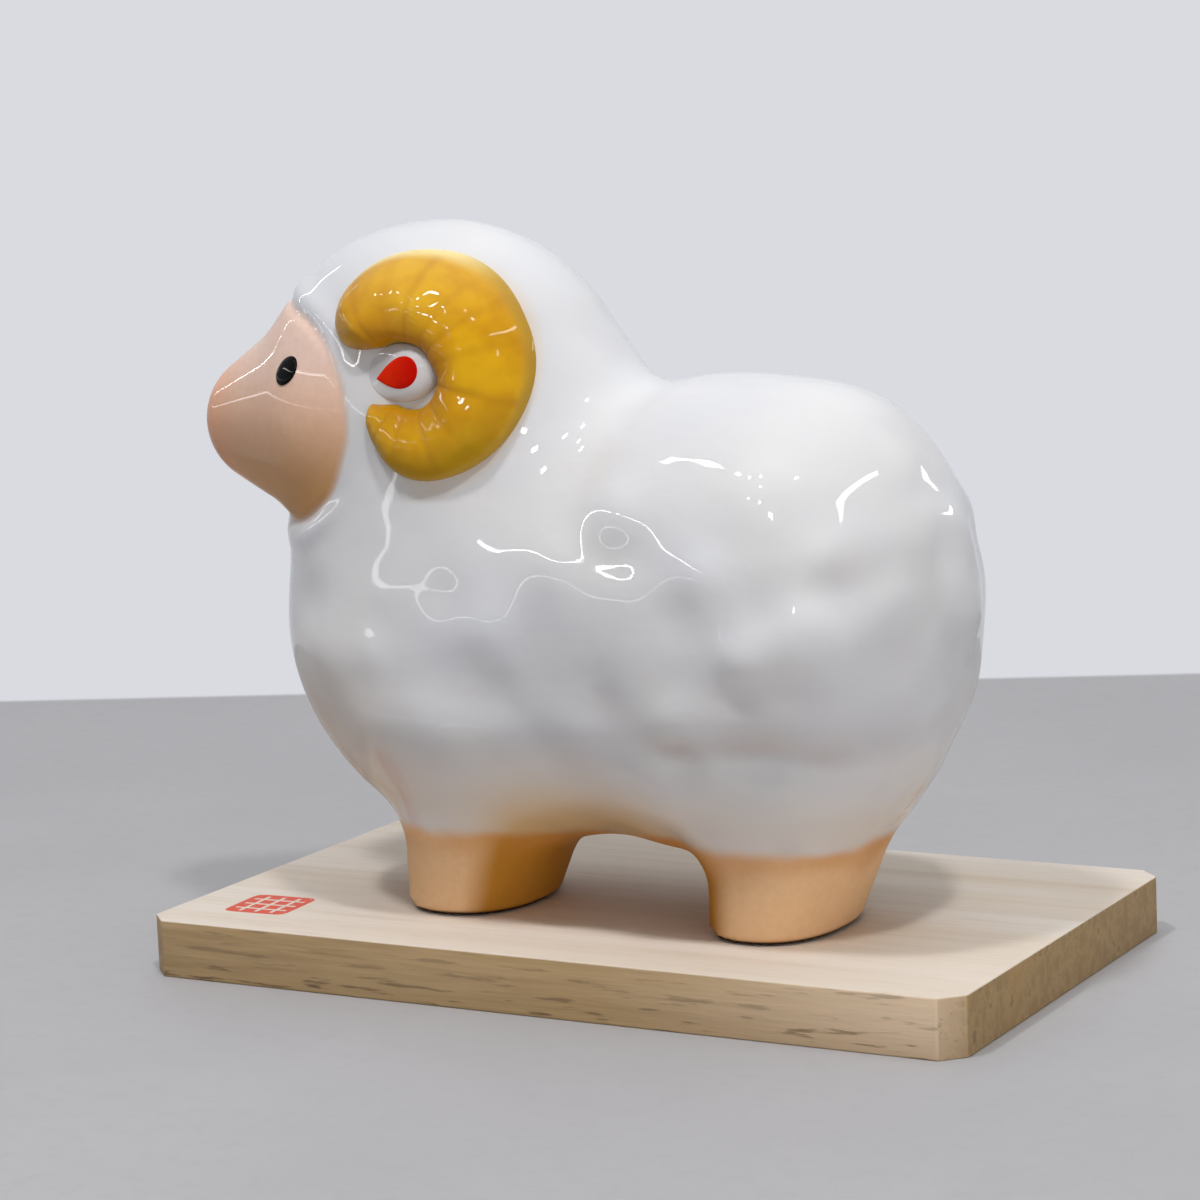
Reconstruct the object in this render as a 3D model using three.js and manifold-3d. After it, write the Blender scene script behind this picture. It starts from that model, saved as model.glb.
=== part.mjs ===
// A glazed ceramic ram standing on a small wooden board. Millimetres, +Z up. The origin is the
// centre of the board's underside, the long side of the board is X, and the ram faces -X.
import * as THREE from 'three';
import { mergeVertices } from 'three/addons/utils/BufferGeometryUtils.js';
import Module from 'manifold-3d';

const wasm = await Module();
wasm.setup();

// Board
const BOARD_LENGTH = 130;
const BOARD_WIDTH = 76;
const BOARD_THICKNESS = 8.5;
const BOARD_CORNER = 3.2; // length cut off each corner along either side

// Where the ram stands: its middle plane is off the board's centre line, towards -Y
const FIGURE_Y = -9;

// Woolly masses of the ram. X and Z are centres, from the board's centre and top.
const BARREL_X = 19.4;
const BARREL_Z = 43.6;
const BARREL_LENGTH = 58.6;
const BARREL_WIDTH = 53;
const BARREL_HEIGHT = 68.8;
const CHEST_X = -16.7;
const CHEST_Z = 42.3;
const CHEST_LENGTH = 71.2;
const CHEST_WIDTH = 49;
const CHEST_HEIGHT = 66.6;
const RUMP_X = 36;
const RUMP_Z = 45.7;
const RUMP_LENGTH = 36.8;
const RUMP_WIDTH = 48;
const RUMP_HEIGHT = 59.4;
const HOOD_X = -26.3;
const HOOD_Z = 75;
const HOOD_LENGTH = 58;
const HOOD_WIDTH = 39;
const HOOD_HEIGHT = 50.2;
const BODY_BLEND = 10.5; // how softly barrel, chest and rump run together
const NECK_BLEND = 12;

// Snout: a cone with two round ends, from the cheeks to the nose
const CHEEK_X = -35.3;
const CHEEK_Z = 72.2;
const CHEEK_RADIUS = 20.6;
const NOSE_X = -56.6;
const NOSE_Z = 70.9;
const NOSE_RADIUS = 10.1;
const FACE_BLEND = 2;

// Line between the bare face and the woolly hood: half an oval in side view, round the cheek
const FACE_X = -46;
const FACE_Z = 73;
const FACE_DEPTH = 14.6; // from the oval's centre back to the cheek
const FACE_HEIGHT = 33.4;
const FACE_TILT = 17; // degrees that the oval's top leans back

// Each pair of legs is cast as one broad oval foot
const FRONT_FOOT_X = -23.6;
const FRONT_FOOT_LENGTH = 19.7;
const FRONT_FOOT_WIDTH = 25.2;
const REAR_FOOT_X = 26;
const REAR_FOOT_LENGTH = 18.6;
const REAR_FOOT_WIDTH = 26.8;
const FOOT_FLARE = 0.19; // growth of each half width per millimetre of height
const FOOT_LEAN = 0.22; // shift towards the tail per millimetre of height
const FOOT_FULLNESS = 2.3; // exponent of the oval
const FOOT_EDGE = 0.9; // rounding of the bottom edge
const FOOT_HEIGHT = 10.2; // bare foot below the white glaze
const LEG_TOP = 26; // how far the legs reach up into the body
const LEG_BLEND = 4.8;

// The casting is hollow, with a vent in the belly
const WALL = 4;
const VENT_DIAMETER = 5;
const VENT_X = 0;

// Horns: a thick round roll that curls round each ear
const CURL_X = -20.3; // centre of the curl
const CURL_Z = 79;
const HORN_CURL_RADIUS = 10.9; // of the horn's middle line, at its root
const HORN_TIP_CURL_RADIUS = 8.6;
const HORN_ROOT_ANGLE = 119; // degrees above the forward direction, measured through the top
const HORN_TIP_ANGLE = -104;
const HORN_ROOT_WIDTH = 12;
const HORN_MIDDLE_WIDTH = 15.8;
const HORN_TIP_WIDTH = 5.4;
const HORN_RISE = 3.4;

// Ears: a low oval inside each curl, with a painted drop
const EAR_FORWARD = 2.1; // how far the ear's centre lies in front of the curl's
const EAR_LIFT = 0.6; // how far it lies above
const EAR_LENGTH = 12;
const EAR_HEIGHT = 8.2;
const EAR_RISE = 2.6;
const DROP_LENGTH = 6.1;
const DROP_WIDTH = 4.4;
const DROP_BACK = 1.2; // how far the drop's middle lies behind the ear's

// Eyes, in side view
const EYE_X = -41.6;
const EYE_Z = 79.8;
const EYE_LENGTH = 4.3;
const EYE_HEIGHT = 4.4;

// Tail: a short lump at the back of the rump
const TAIL_Z = 48;
const TAIL_LENGTH = 10;
const TAIL_WIDTH = 12;
const TAIL_HEIGHT = 17;
const TAIL_SINK = 0.6; // share of its half length that lies inside the rump

const CLEARANCE = 0.3; // between neighbouring pieces
const PAINT = 0.5; // thickness of the eyes and of the drops

// Facets
const SKIN_DETAIL = 11;
const HOLLOW_DETAIL = 5;
const FOOT_SIDES = 32;

// The heart lies deep in the body, in sight of every part of its skin above the feet
const HEART = new THREE.Vector3(0, 0, 50);
const REACH = 140; // longer than any distance from the heart to the skin

// Distance from a point to an ellipsoid, negative inside
function ellipsoid(p, x, z, length, width, height) {
  const a = length / 2;
  const b = width / 2;
  const c = height / 2;
  const dx = p.x - x;
  const dz = p.z - z;
  const near = Math.hypot(dx / a, p.y / b, dz / c);
  const slope = Math.hypot(dx / a ** 2, p.y / b ** 2, dz / c ** 2);
  return slope < 1e-9 ? -Math.min(a, b, c) : (near * (near - 1)) / slope;
}

// Distance to the cone between two balls, negative inside
function snout(p) {
  const axisX = NOSE_X - CHEEK_X;
  const axisZ = NOSE_Z - CHEEK_Z;
  const length = Math.hypot(axisX, axisZ);
  const along = ((p.x - CHEEK_X) * axisX + (p.z - CHEEK_Z) * axisZ) / length;
  const across = Math.sqrt(Math.max(
    (p.x - CHEEK_X) ** 2 + p.y ** 2 + (p.z - CHEEK_Z) ** 2 - along ** 2, 0));
  const sine = (CHEEK_RADIUS - NOSE_RADIUS) / length;
  const cosine = Math.sqrt(1 - sine ** 2);
  const foot = along - (across * sine) / cosine;
  const t = THREE.MathUtils.clamp(foot, 0, length);
  const radius = THREE.MathUtils.lerp(CHEEK_RADIUS, NOSE_RADIUS, t / length);
  return Math.hypot(along - t, across) - radius;
}

// Distance to an upright tapering leg with an oval section
function leg(p, x, footLength, footWidth) {
  const up = Math.max(p.z, 0);
  const a = footLength / 2 + FOOT_FLARE * up;
  const b = footWidth / 2 + FOOT_FLARE * up;
  const sum = Math.abs((p.x - x - FOOT_LEAN * up) / a) ** FOOT_FULLNESS
    + Math.abs(p.y / b) ** FOOT_FULLNESS;
  const side = (sum ** (1 / FOOT_FULLNESS) - 1) * Math.min(a, b);
  return Math.max(side, -p.z, p.z - LEG_TOP);
}

const frontLeg = (p) => leg(p, FRONT_FOOT_X, FRONT_FOOT_LENGTH, FRONT_FOOT_WIDTH);
const rearLeg = (p) => leg(p, REAR_FOOT_X, REAR_FOOT_LENGTH, REAR_FOOT_WIDTH);

// Two forms run together over a soft hollow
function blend(a, b, reach) {
  const h = THREE.MathUtils.clamp(0.5 + (b - a) / (2 * reach), 0, 1);
  return THREE.MathUtils.lerp(b, a, h) - reach * h * (1 - h);
}

// The whole ram without horns, ears and tail
function figure(p) {
  const barrel = ellipsoid(p, BARREL_X, BARREL_Z, BARREL_LENGTH, BARREL_WIDTH, BARREL_HEIGHT);
  const chest = ellipsoid(p, CHEST_X, CHEST_Z, CHEST_LENGTH, CHEST_WIDTH, CHEST_HEIGHT);
  const rump = ellipsoid(p, RUMP_X, RUMP_Z, RUMP_LENGTH, RUMP_WIDTH, RUMP_HEIGHT);
  const hood = ellipsoid(p, HOOD_X, HOOD_Z, HOOD_LENGTH, HOOD_WIDTH, HOOD_HEIGHT);
  let form = blend(blend(barrel, chest, BODY_BLEND), rump, BODY_BLEND);
  form = blend(form, hood, NECK_BLEND);
  form = blend(form, snout(p), FACE_BLEND);
  return blend(form, Math.min(frontLeg(p), rearLeg(p)), LEG_BLEND);
}

// How far the form reaches from a point along a unit direction, at a given distance off it
function reach(form, from, direction, offset) {
  const at = (t) => form(from.clone().addScaledVector(direction, t)) - offset;
  const step = 2;
  let outside = 0;
  while (outside < REACH && at(outside) < 0) outside += step;
  let inside = Math.max(outside - step, 0);
  for (let i = 0; i < 24; i++) {
    const middle = (inside + outside) / 2;
    if (at(middle) < 0) inside = middle;
    else outside = middle;
  }
  return (inside + outside) / 2;
}

// A geometry's corners, each written once, with only their places
function merged(geometry) {
  geometry.deleteAttribute('normal');
  geometry.deleteAttribute('uv');
  return mergeVertices(geometry);
}

// Moves every corner of a geometry with a function that takes and returns a point
function reshape(geometry, move) {
  const shaped = merged(geometry);
  const position = shaped.attributes.position;
  const p = new THREE.Vector3();
  for (let i = 0; i < position.count; i++) {
    p.fromBufferAttribute(position, i);
    const q = move(p.clone());
    position.setXYZ(i, q.x, q.y, q.z);
  }
  return shaped;
}

// A closed geometry as a solid that can be joined and cut. Where its shape was mirrored to the
// left side, each face is turned over so that it looks outwards again.
function solid(geometry, side = 1) {
  const shape = geometry.attributes.normal ? merged(geometry) : geometry;
  const index = Array.from(shape.index.array);
  const corners = [];
  for (let i = 0; i < index.length; i += 3) {
    const [a, b, c] = index.slice(i, i + 3);
    if (a === b || b === c || c === a) continue;
    if (side > 0) corners.push(a, b, c);
    else corners.push(a, c, b);
  }
  return new wasm.Manifold(new wasm.Mesh({
    numProp: 3,
    vertProperties: new Float32Array(shape.attributes.position.array),
    triVerts: new Uint32Array(corners),
  }));
}

function geometryOf(manifold) {
  const mesh = manifold.getMesh();
  const geometry = new THREE.BufferGeometry();
  geometry.setAttribute('position', new THREE.BufferAttribute(mesh.vertProperties, 3));
  geometry.setIndex(new THREE.BufferAttribute(mesh.triVerts, 1));
  geometry.computeVertexNormals();
  return geometry;
}

// A box between two corners
function block(low, high) {
  const size = high.clone().sub(low);
  const middle = low.clone().add(high).divideScalar(2);
  return solid(new THREE.BoxGeometry(size.x, size.y, size.z).translate(...middle.toArray()));
}

// The ram's skin at a distance off the form, seen from its heart
function skin(detail, offset) {
  return solid(reshape(new THREE.IcosahedronGeometry(1, detail), (p) => {
    const direction = p.normalize();
    return HEART.clone().addScaledVector(direction, reach(figure, HEART, direction, offset));
  }));
}

// Half width of the ram at a place in its side view
function sideSurface(x, z) {
  const inside = new THREE.Vector3(x, 0, z);
  return reach(figure, inside, new THREE.Vector3(0, 1, 0), 0);
}

// Everything in front of the face line, made larger by a gap
function faceRegion(gap) {
  const outline = new THREE.Shape();
  outline.moveTo(0, FACE_HEIGHT / 2 + gap);
  outline.absellipse(0, 0, FACE_DEPTH + gap, FACE_HEIGHT / 2 + gap, Math.PI / 2, -Math.PI / 2, true);
  outline.lineTo(-REACH, -FACE_HEIGHT / 2 - gap);
  outline.lineTo(-REACH, FACE_HEIGHT / 2 + gap);
  return solid(new THREE.ExtrudeGeometry(outline,
    { depth: 2 * REACH, bevelEnabled: false, curveSegments: 24 })
    .translate(0, 0, -REACH)
    .rotateX(Math.PI / 2)
    .rotateY(THREE.MathUtils.degToRad(FACE_TILT))
    .translate(FACE_X, 0, FACE_Z));
}

// Foot: an upright cylinder whose wall is drawn onto the leg, with a rounded bottom edge
function foot(form, x) {
  const edgeSteps = 3;
  const wallSteps = 3;
  const rows = edgeSteps + wallSteps;
  const wall = new THREE.CylinderGeometry(1, 1, rows, FOOT_SIDES, rows)
    .rotateX(Math.PI / 2).translate(0, 0, rows / 2);
  return solid(reshape(wall, (p) => {
    const row = Math.round(p.z);
    const turn = Math.min(row / edgeSteps, 1) * (Math.PI / 2);
    const inset = FOOT_EDGE * (1 - Math.sin(turn));
    const low = FOOT_EDGE * (1 - Math.cos(turn));
    const high = Math.max(row - edgeSteps, 0) / wallSteps;
    const z = THREE.MathUtils.lerp(low, FOOT_HEIGHT, high);
    const axis = new THREE.Vector3(x + FOOT_LEAN * z, 0, z);
    const direction = new THREE.Vector3(p.x, p.y, 0);
    if (direction.length() < 0.5) return axis;
    direction.normalize();
    const level = new THREE.Vector3(axis.x, 0, Math.max(z, 0.01));
    return axis.addScaledVector(direction, reach(form, level, direction, 0) - inset);
  }));
}

// Horn: a straight round-ended roll bent round the ear and laid on the side of the head
function horn(side, grow) {
  const straight = 6; // length of the roll's straight part in half widths
  const roll = new THREE.CapsuleGeometry(1, straight, 4, 14, 16);
  const ends = straight / 2 + 1;
  return solid(reshape(roll, (p) => {
    const t = (p.y + ends) / (2 * ends);
    const angle = THREE.MathUtils.degToRad(
      THREE.MathUtils.lerp(HORN_ROOT_ANGLE, HORN_TIP_ANGLE, (t - 0.5) * (ends / (ends - 1)) + 0.5));
    const width = (1 - t) ** 2 * HORN_ROOT_WIDTH + 2 * t * (1 - t) * HORN_MIDDLE_WIDTH
      + t ** 2 * HORN_TIP_WIDTH;
    const curl = THREE.MathUtils.lerp(HORN_CURL_RADIUS, HORN_TIP_CURL_RADIUS, t ** 2);
    const radius = curl + p.x * (width / 2 + grow);
    const x = CURL_X + radius * Math.cos(angle);
    const z = CURL_Z + radius * Math.sin(angle);
    const out = sideSurface(x, z) + p.z * (HORN_RISE + grow);
    return new THREE.Vector3(x, side * out, z);
  }), side);
}

// Ear: a low dome laid on the side of the head
const EAR_X = CURL_X - EAR_FORWARD;
const EAR_Z = CURL_Z + EAR_LIFT;

function ear(side, grow) {
  return solid(reshape(new THREE.SphereGeometry(1, 16, 10), (p) => {
    const x = EAR_X + p.x * (EAR_LENGTH / 2 + grow);
    const z = EAR_Z + p.z * (EAR_HEIGHT / 2 + grow);
    return new THREE.Vector3(x, side * (sideSurface(x, z) + p.y * (EAR_RISE + grow)), z);
  }), side);
}

// A flat outline in side view, pushed through the head on one side only
function stamp(shape, side) {
  const prism = new THREE.ExtrudeGeometry(shape,
    { depth: REACH, bevelEnabled: false, curveSegments: 10 });
  prism.rotateX(Math.PI / 2);
  if (side > 0) prism.translate(0, REACH, 0);
  return solid(prism);
}

// Drop with its point towards the nose and its round end towards the tail
function dropOutline() {
  const radius = DROP_WIDTH / 2;
  const tip = DROP_LENGTH - radius; // from the round end's centre to the point
  const x = EAR_X + DROP_BACK + DROP_LENGTH / 2 - radius;
  const start = Math.PI + Math.acos(radius / tip);
  const shape = new THREE.Shape();
  shape.moveTo(x - tip, EAR_Z);
  shape.lineTo(x + radius * Math.cos(start), EAR_Z + radius * Math.sin(start));
  shape.absarc(x, EAR_Z, radius, start, 2 * Math.PI - start, false);
  return shape;
}

function eyeOutline() {
  const shape = new THREE.Shape();
  shape.absellipse(EYE_X, EYE_Z, EYE_LENGTH / 2, EYE_HEIGHT / 2, 0, 2 * Math.PI, false, 0);
  return shape;
}

function tail() {
  const rumpEnd = reach(figure, new THREE.Vector3(RUMP_X, 0, TAIL_Z), new THREE.Vector3(1, 0, 0), 0);
  const x = RUMP_X + rumpEnd - (TAIL_SINK * TAIL_LENGTH) / 2;
  return solid(new THREE.SphereGeometry(1, 18, 12)
    .scale(TAIL_LENGTH / 2, TAIL_WIDTH / 2, TAIL_HEIGHT / 2)
    .translate(x, 0, TAIL_Z));
}

// The hollow inside keeps its floor above the feet
function hollow() {
  const floor = FOOT_HEIGHT + CLEARANCE + WALL;
  return skin(HOLLOW_DETAIL, -WALL).intersect(block(
    new THREE.Vector3(-REACH, -REACH, floor), new THREE.Vector3(REACH, REACH, REACH)));
}

function vent() {
  return solid(new THREE.CylinderGeometry(VENT_DIAMETER / 2, VENT_DIAMETER / 2, HEART.z, 20)
    .rotateX(Math.PI / 2).translate(VENT_X, 0, HEART.z / 2));
}

function boardGeometry() {
  const x = BOARD_LENGTH / 2;
  const y = BOARD_WIDTH / 2;
  const c = BOARD_CORNER;
  const outline = new THREE.Shape([
    new THREE.Vector2(-x + c, -y), new THREE.Vector2(x - c, -y),
    new THREE.Vector2(x, -y + c), new THREE.Vector2(x, y - c),
    new THREE.Vector2(x - c, y), new THREE.Vector2(-x + c, y),
    new THREE.Vector2(-x, y - c), new THREE.Vector2(-x, -y + c),
  ]);
  return new THREE.ExtrudeGeometry(outline, { depth: BOARD_THICKNESS, bevelEnabled: false });
}

const paint = {
  wood: new THREE.MeshStandardMaterial({ color: 0xd6c6b2, roughness: 0.75, metalness: 0 }),
  white: new THREE.MeshStandardMaterial({ color: 0xe9e9ec, roughness: 0.08, metalness: 0 }),
  peach: new THREE.MeshStandardMaterial({ color: 0xdcab8e, roughness: 0.12, metalness: 0 }),
  yellow: new THREE.MeshStandardMaterial({ color: 0xe2aa10, roughness: 0.1, metalness: 0 }),
  red: new THREE.MeshStandardMaterial({ color: 0xdc320a, roughness: 0.15, metalness: 0 }),
  black: new THREE.MeshStandardMaterial({ color: 0x0c0c0e, roughness: 0.08, metalness: 0 }),
};

function piece(name, geometry, material) {
  const mesh = new THREE.Mesh(geometry, material);
  mesh.name = name;
  return mesh;
}

const ram = new THREE.Group();
ram.position.set(0, FIGURE_Y, BOARD_THICKNESS);

const castingOutside = skin(SKIN_DETAIL, 0);
const seat = skin(SKIN_DETAIL, CLEARANCE);
const paintTop = skin(SKIN_DETAIL, CLEARANCE + PAINT);
const aboveFeet = block(new THREE.Vector3(-REACH, -REACH, FOOT_HEIGHT + CLEARANCE),
  new THREE.Vector3(REACH, REACH, REACH));
const casting = castingOutside.intersect(aboveFeet).subtract(hollow()).subtract(vent());

ram.add(piece('body_shell', geometryOf(casting.subtract(faceRegion(CLEARANCE))), paint.white));
ram.add(piece('face', geometryOf(casting.intersect(faceRegion(0))), paint.peach));
ram.add(piece('front_foot', geometryOf(foot(frontLeg, FRONT_FOOT_X)), paint.peach));
ram.add(piece('rear_foot', geometryOf(foot(rearLeg, REAR_FOOT_X)), paint.peach));
ram.add(piece('tail', geometryOf(tail().subtract(seat)), paint.white));

for (const [name, side] of [['left', -1], ['right', 1]]) {
  ram.add(piece(`horn_${name}`, geometryOf(horn(side, 0).subtract(seat)), paint.yellow));
  const lobe = ear(side, 0).subtract(horn(side, CLEARANCE)).subtract(seat);
  ram.add(piece(`ear_${name}`, geometryOf(lobe), paint.white));
  const drop = ear(side, CLEARANCE + PAINT).subtract(ear(side, CLEARANCE))
    .subtract(seat).intersect(stamp(dropOutline(), side));
  ram.add(piece(`ear_mark_${name}`, geometryOf(drop), paint.red));
  const eye = paintTop.subtract(seat).intersect(stamp(eyeOutline(), side));
  ram.add(piece(`eye_${name}`, geometryOf(eye), paint.black));
}

const figurine = new THREE.Group();
figurine.add(piece('board', boardGeometry(), paint.wood));
figurine.add(ram);

export default figurine;
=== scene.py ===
"""A glazed ceramic ram on a small wooden board, dressed over its CAD frame."""

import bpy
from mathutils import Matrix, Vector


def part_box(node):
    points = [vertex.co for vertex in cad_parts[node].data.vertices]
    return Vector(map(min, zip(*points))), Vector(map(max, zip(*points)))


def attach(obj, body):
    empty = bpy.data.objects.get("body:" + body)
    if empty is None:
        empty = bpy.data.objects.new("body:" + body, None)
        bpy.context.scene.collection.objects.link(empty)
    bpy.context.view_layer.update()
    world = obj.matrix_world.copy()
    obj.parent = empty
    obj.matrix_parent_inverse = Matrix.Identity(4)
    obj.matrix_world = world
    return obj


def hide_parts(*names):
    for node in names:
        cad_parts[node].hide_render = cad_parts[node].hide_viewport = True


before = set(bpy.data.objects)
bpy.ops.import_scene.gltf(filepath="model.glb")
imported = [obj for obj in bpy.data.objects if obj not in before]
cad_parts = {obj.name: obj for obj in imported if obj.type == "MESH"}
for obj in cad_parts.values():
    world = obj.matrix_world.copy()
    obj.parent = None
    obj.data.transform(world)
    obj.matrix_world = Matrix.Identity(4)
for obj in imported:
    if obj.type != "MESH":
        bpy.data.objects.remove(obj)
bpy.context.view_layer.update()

import math

import bmesh
import bpy
import numpy as np
from mathutils import Matrix, Vector, noise

bl_info = {
    "name": "Painted ram figurine",
    "version": (1, 0, 0),
    "blender": (4, 5, 0),
    "location": "View3D > Sidebar > Ram",
    "description": "Builds the glazed ram, its horns, ears, eyes and wooden board",
    "category": "Add Mesh",
}

MM = 0.001
DEGREE = math.pi / 180
SIDES = (("left", -1), ("right", 1))

# Camera at the photo's angle, in metres. The lens and the sensor are in millimetres.
CAMERA_PLACE = (0.24646, -0.4481, 0.1320)
VIEW_AZIMUTH, VIEW_TILT, VIEW_ROLL = 29.504 * DEGREE, 8.81 * DEGREE, -2.454 * DEGREE
LENS, SENSOR = 106.8, 36

# Table top that the camera sees: half its length and how far it is turned
TABLE_HALF, TABLE_TURN = 0.217, 6.3 * DEGREE
FLOOR_REACH = 4.0

# Soft lamps light the object: name, place, width, height, power and tint
LAMPS = (
    ("lamp_left", (-0.17, -0.40, 1.1), 0.09, 0.09, 3.9, (0.99, 0.99, 1.0)),
    ("lamp_right", (0.37, -0.40, 1.1), 0.09, 0.09, 3.9, (0.99, 0.99, 1.0)),
    ("overhead", (0.06, 0.1, 1.1), 0.9, 0.7, 3.4, (0.97, 0.98, 1.0)),
    ("front", (0.50, -0.80, 0.48), 0.45, 0.2, 0.5, (1.0, 0.98, 0.97)),
    ("fill", (0.85, -0.45, 0.1), 0.5, 0.14, 1.3, (1.0, 0.97, 0.94)))
# Strips and small square lamps only show as highlights in the glaze
STRIPS = (
    ("strip_front", (-0.76, -0.605, 0.475), 1.2, 0.014, 1.3),
    ("strip_low", (-0.8, -0.44, 0.18), 1.7, 0.014, 0.5),
    ("strip_side", (-1.07, 0.33, 0.5), 0.012, 0.55, 0.4),
    ("strip_rear", (0.85, -0.03, 0.88), 0.75, 0.05, 2.0),
    ("strip_back", (0.68, 0.88, 0.46), 0.4, 0.035, 0.6))
SPOTS = (
    (-0.15, -0.43, 1.05), (-0.06, -0.63, 0.95), (-0.52, -0.35, 0.95),
    (-0.36, -0.43, 1.0), (0.02, -0.86, 0.74), (-0.26, -0.78, 0.78),
    (0.21, -0.91, 0.63), (0.36, -0.42, 1.05))
SPOT_SIZE, SPOT_POWER = 0.042, 0.4
LAMP_AIM = Vector((0, 0, 0.05))
PLAIN = (1, 1, 1)

# Places are worked out in millimetres from the middle of the board's top, on the ram's own
# middle plane, with the ram facing -X. These move them to the frame.
BOARD_LOW, BOARD_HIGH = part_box("board")
BODY_LOW, BODY_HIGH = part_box("body_shell")
ORIGIN = Vector((0, (BODY_LOW[1] + BODY_HIGH[1]) / 2, BOARD_HIGH[2]))
TO_FRAME = Matrix.Translation(ORIGIN) @ Matrix.Scale(MM, 4)

# Woolly masses: centre x and z, then length, width and height
BARREL = (19.4, 43.6, 58.6, 53.0, 68.8)
CHEST = (-16.7, 42.3, 71.2, 49.0, 66.6)
RUMP = (36.0, 45.7, 36.8, 48.0, 59.4)
HOOD = (-26.3, 75.0, 58.0, 39.0, 50.2)
BODY_BLEND = 10.5
NECK_BLEND = 12.0
TAIL_BLEND = 3.0

# Snout: centre x, z and radius of its two round ends
CHEEK = (-35.3, 72.2, 20.6)
NOSE = (-56.6, 70.9, 10.1)
FACE_BLEND = 2.0

# Line between face and hood: half an oval in side view
FACE_X, FACE_Z = -46.0, 72.7
FACE_DEPTH, FACE_HALF_HEIGHT = 15.3, 15.3
FACE_TILT = 17 * DEGREE

# Soft lip of the hood and the groove in front of it: height, how far back, and width
LIP_HEIGHT, LIP_BACK, LIP_WIDTH = 0.45, 2.3, 1.7
LIP_GROOVE, LIP_GROOVE_WIDTH = 0.5, 0.8

# Small waves between the tufts, in two sizes, and their share of the wool's depth
WAVE_SIZE, RIPPLE_SIZE, WAVE_SHARE = 7.6, 4.6, 0.34
WOOL_LOW, WOOL_HIGH = (11, 20), (62, 76)
FOOT_LINE = 13.1

# Feet: centre x, length and width at the board
FRONT_FOOT = (-23.6, 19.7, 25.2)
REAR_FOOT = (26.0, 18.6, 26.8)
FOOT_FLARE, FOOT_LEAN, FOOT_FULLNESS, FOOT_EDGE = 0.19, 0.22, 2.3, 1.3
LEG_TOP, LEG_BLEND = 26.0, 4.8
FOOT_SEAM = 10.35
FRONT_END, BETWEEN_FEET, REAR_END = -60, 3, 70
VENT_RADIUS, VENT_DEPTH, VENT_LOW = 2.5, 26.0, 8

# Tail: centre x and z, length, width and height
TAIL = (51.0, 48.0, 10.0, 12.0, 17.0)

# Horn: middle radius and half width every 30 degrees, from the root over the top to the tip
CURL_X, CURL_Z = -20.3, 79.0
HORN_ANGLES = [150, 120, 90, 60, 30, 0, -30, -60, -90, -120, -150]
HORN_MIDDLE = [11.4, 11.8, 11.0, 10.45, 10.05, 10.55, 10.55, 10.0, 9.0, 7.45, 7.1]
HORN_HALF = [5.0, 6.3, 6.3, 6.2, 6.2, 6.1, 5.95, 5.4, 4.75, 3.2, 0.9]
HORN_START, HORN_END = 157.5, -148.5
HORN_DENT, HORN_DENT_SIZE = 0.3, 3.4
# Grooves across the horn: angle and how deep it is
HORN_GROOVES = [(129, 0.8), (108, 0.55), (87, 1.0), (61, 0.6), (43, 0.9), (20, 0.55),
                (-11, 1.0), (-41, 0.6), (-63, 0.9), (-92, 0.7), (-116, 0.9)]

EAR_X, EAR_Z = -21.3, 79.8
DROP_X, DROP_Z = -21.95, 79.65
DROP_TURN = -12 * DEGREE
EYE_X, EYE_Z = -41.7, 79.8
EYE_LEAN = 0.28
EYE_RISE, DROP_RISE = 0.5, 0.22

# How far the laid-on pieces reach into the ram
HORN_SUNK, EAR_SUNK, DROP_SUNK, EYE_SUNK = 0.9, 0.8, 0.3, 0.6

# Where one tone turns into another, from none to full, in metres in the frame. Some are painted
# light and shade: deeper shade low on the white, a sheen on the brow, shade under the jaw,
# light on the horns' crown and a contact shadow under the feet
POOLED_AND_SHADE_Z, FOOT_Z, BROW_SHEEN_Z, JAW_SHADE_Z = (0.046, 0.036), (0.030, 0.022), (0.080, 0.092), (0.090, 0.068)
NOSE_X, BLUNT_X, CROWN_LIGHT_Z = (-0.052, -0.066), (-0.0225, -0.0165), (0.093, 0.107)
CONTACT_SHADOW_Z = (ORIGIN.z + 0.0009, ORIGIN.z + 0.0004)

# Numbers kept on the casting's meshes for its glaze and its painted shade, and how strongly the
# ears' white is darkened, a painted shade under the horns
NOTES = ("peach", "haze", "hollow", "warm_shade", "foot_top")
EAR_SHADE = 1.6

# Stamped square on the board, in metres
SEAL_X, SEAL_Y, SEAL_SIZE = -0.0517, -0.0244, 0.0105
SEAL_TURN = -3 * DEGREE

# On the board, in metres: the dark streak of its top, the right half of its sides, paler with
# painted light, and the flecked zone near its underside
STREAK_Y, STREAK_WIDTH, LIT_SIDE_X, FLECKED_Z = 0.018, 0.0025, (0.0, 0.075), (0.0045, 0.0)

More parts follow.
